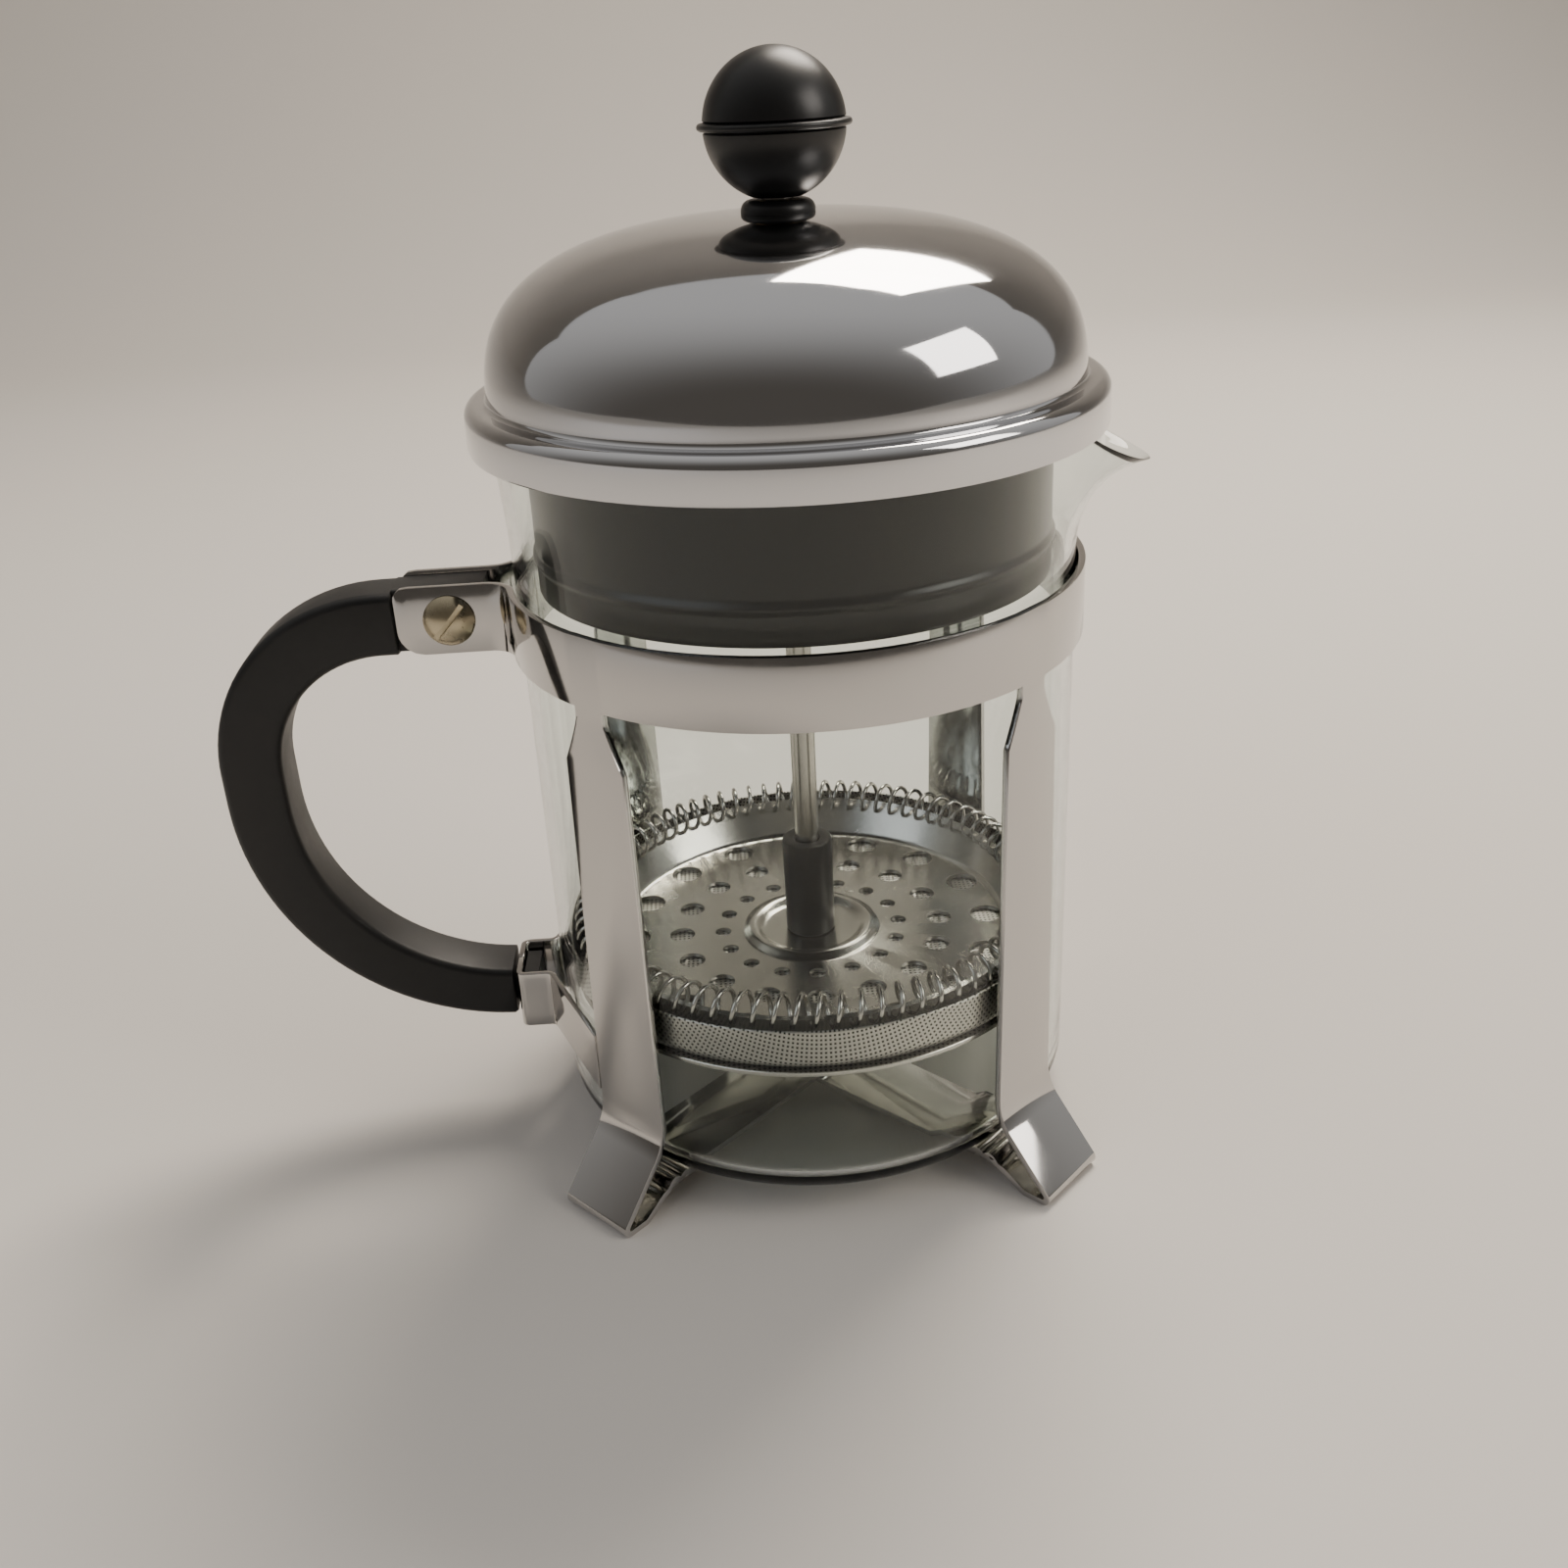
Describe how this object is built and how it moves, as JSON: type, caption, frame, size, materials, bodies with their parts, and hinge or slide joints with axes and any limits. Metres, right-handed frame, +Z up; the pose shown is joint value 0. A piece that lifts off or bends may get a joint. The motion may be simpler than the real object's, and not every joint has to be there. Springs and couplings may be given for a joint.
{
  "type": "french press",
  "caption": "Glass beaker in a chromed steel frame with a plastic handle, a domed lid and a sliding plunger with a coil-edged filter.",
  "frame": {"origin": "on the ground, under the middle of the whole object's box", "axes": "+Z up, along the plunger; the handle points to -X and the spout to +X"},
  "size_m": [0.146, 0.0934, 0.1654],
  "materials": {
    "frame_chrome": "polished",
    "rivet_steel": "plain",
    "screw_steel": "nickel plated",
    "handle_plastic": "satin moulded",
    "beaker_glass": "clear borosilicate",
    "lid_chrome": "mirror polished",
    "lid_plastic": "moulded",
    "knob_plastic": "polished",
    "insert_brass": "turned",
    "rod_steel": "polished",
    "filter_steel": "polished",
    "spring_steel": "drawn wire",
    "mesh_steel": "woven"
  },
  "bodies": {
    "frame": {"frame_band": "frame_chrome", "leg_strap_upper": "frame_chrome", "leg_strap_lower": "frame_chrome", "base_rivet": "rivet_steel", "bracket_front": "frame_chrome", "bracket_rear": "frame_chrome", "handle": "handle_plastic", "clamp_screw": "screw_steel", "clamp_nut": "screw_steel"},
    "beaker": {"beaker": "beaker_glass"},
    "lid_nut": {"lid_nut": "rivet_steel"},
    "lid": {"lid_dome": "lid_chrome", "lid_liner": "lid_plastic", "lid_bush": "lid_plastic"},
    "rod": {"plunger_rod": "rod_steel"},
    "plunger": {"knob": "knob_plastic", "knob_insert": "insert_brass", "spacer_sleeve": "lid_plastic", "filter_plate": "filter_steel", "filter_coil": "spring_steel", "filter_mesh": "mesh_steel", "cross_plate": "filter_steel", "filter_nut": "filter_steel"}
  },
  "joints": [
    {"name": "beaker_lift", "type": "slide", "parent": "frame", "child": "beaker", "axis": [0, 0, 1], "range_m": [0, 0.1]},
    {"name": "lid_lift", "type": "slide", "parent": "beaker", "child": "lid_nut", "axis": [0, 0, 1], "range_m": [0, 0.13]},
    {"name": "lid_turn", "type": "hinge", "parent": "lid_nut", "child": "lid", "pos_m": [0.0185, 0, 0.12], "axis": [0, 0, 1], "continuous": true},
    {"name": "plunger_press", "type": "slide", "parent": "lid", "child": "rod", "axis": [0, 0, 1], "range_m": [0, 0.054]},
    {"name": "plunger_turn", "type": "hinge", "parent": "rod", "child": "plunger", "pos_m": [0.0185, 0, 0.04], "axis": [0, 0, 1], "continuous": true}
  ]
}
